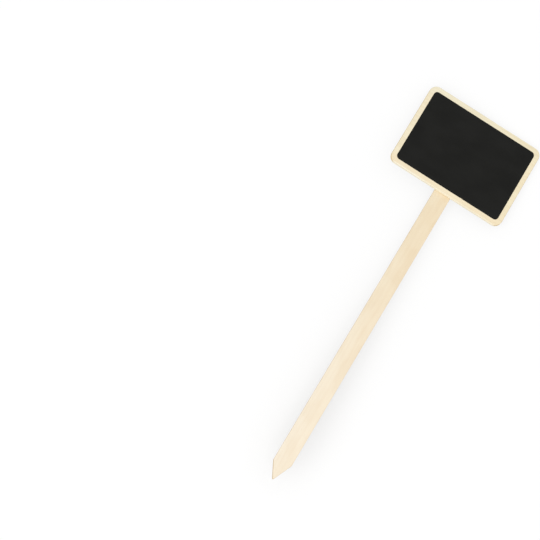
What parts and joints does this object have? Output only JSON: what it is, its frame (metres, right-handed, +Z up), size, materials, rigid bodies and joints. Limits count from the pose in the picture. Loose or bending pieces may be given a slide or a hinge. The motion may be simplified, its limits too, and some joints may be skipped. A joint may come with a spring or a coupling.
{
  "type": "plant label stake",
  "caption": "Plant label stake: a small rounded wooden board with a black chalkboard face, glued to a flat pointed stick.",
  "frame": {"origin": "end of the stick's point, in the middle of the stick's width and thickness", "axes": "+Z up along the stick from the point to the board, +X across the board to the right as its black face is read, -Y out of the black face"},
  "size_m": [0.1, 0.0063, 0.332],
  "materials": {
    "board_wood": "bare, sanded, pale straight-grained wood",
    "chalkboard_paint": "matte charcoal-black chalkboard paint",
    "stick_wood": "bare, sanded, pale straight-grained wood",
    "wood_glue": "dried wood glue, slightly clear"
  },
  "bodies": {
    "root": {"board": "board_wood", "chalk_coat": "chalkboard_paint", "stick": "stick_wood", "glue_film": "wood_glue"}
  },
  "joints": []
}
